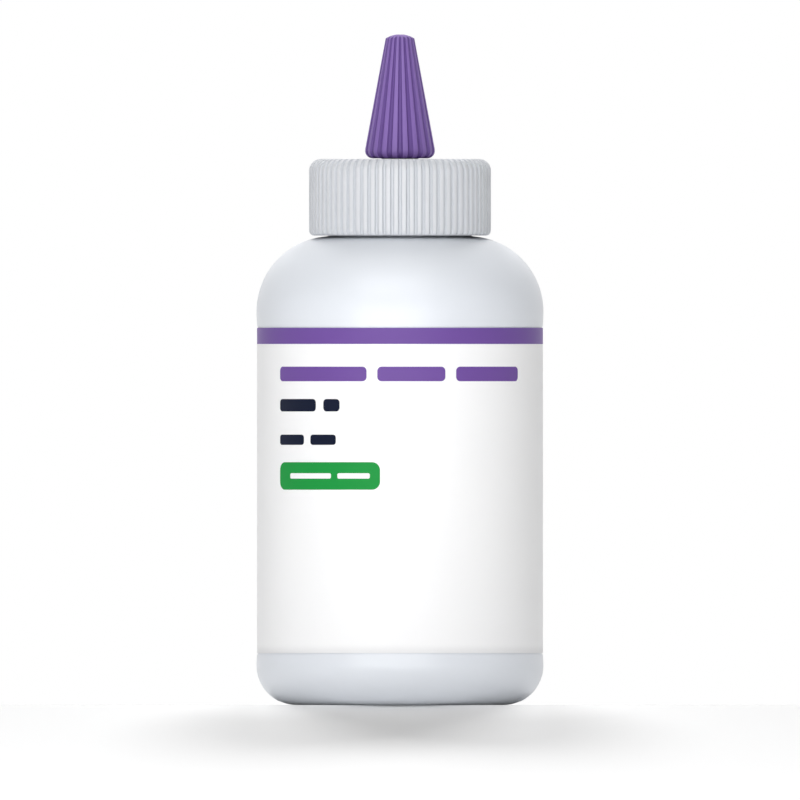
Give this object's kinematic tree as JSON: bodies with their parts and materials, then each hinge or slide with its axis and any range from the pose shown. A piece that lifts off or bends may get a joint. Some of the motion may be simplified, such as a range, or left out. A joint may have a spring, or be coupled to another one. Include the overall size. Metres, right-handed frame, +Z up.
{
  "type": "eye drop bottle",
  "caption": "Round squeeze bottle for eye drops with a wrap label, a ribbed screw collar that holds a dropper nozzle, and a pointed ribbed screw-on overcap.",
  "frame": {"origin": "centre of the ring on which the base stands, at the height of the table", "axes": "+Z up along the bottle's axis; the front of the label faces -Y, +X is to the right seen from the front"},
  "size_m": [0.0264, 0.0264, 0.0622],
  "materials": {
    "bottle_plastic": "soft gloss, white polyethylene",
    "label_film": "satin white film",
    "band_film": "satin purple print on film",
    "nozzle_plastic": "natural polyethylene, slightly translucent",
    "gasket_foam": "matte foam",
    "collar_plastic": "satin light grey moulded plastic",
    "seal_rubber": "soft matte",
    "overcap_plastic": "satin purple moulded plastic",
    "label_print": "matte ink",
    "badge_print": "matte green ink"
  },
  "bodies": {
    "bottle": {"bottle": "bottle_plastic", "label": "label_film", "label_band": "band_film"},
    "nozzle": {"dropper_nozzle": "nozzle_plastic", "neck_gasket": "gasket_foam"},
    "collar": {"collar": "collar_plastic"},
    "tip_seal": {"tip_seal": "seal_rubber"},
    "overcap": {"overcap": "overcap_plastic"}
  },
  "joints": [
    {"name": "collar_lift", "type": "slide", "parent": "bottle", "child": "nozzle", "axis": [0, 0, 1], "range_m": [0, 0.00473]},
    {"name": "collar_turn", "type": "hinge", "parent": "nozzle", "child": "collar", "pos_m": [0, 0, 0.047], "axis": [0, 0, 1], "range_deg": [0, 810]},
    {"name": "overcap_lift", "type": "slide", "parent": "nozzle", "child": "tip_seal", "axis": [0, 0, 1], "range_m": [0, 0.00937]},
    {"name": "overcap_turn", "type": "hinge", "parent": "tip_seal", "child": "overcap", "pos_m": [0, 0, 0.052], "axis": [0, 0, 1], "range_deg": [0, 1350]}
  ],
  "couplings": [
    {"joint": "collar_turn", "follows": "collar_lift", "rad_per_m": 2992},
    {"joint": "overcap_turn", "follows": "overcap_lift", "rad_per_m": 2513.3}
  ]
}
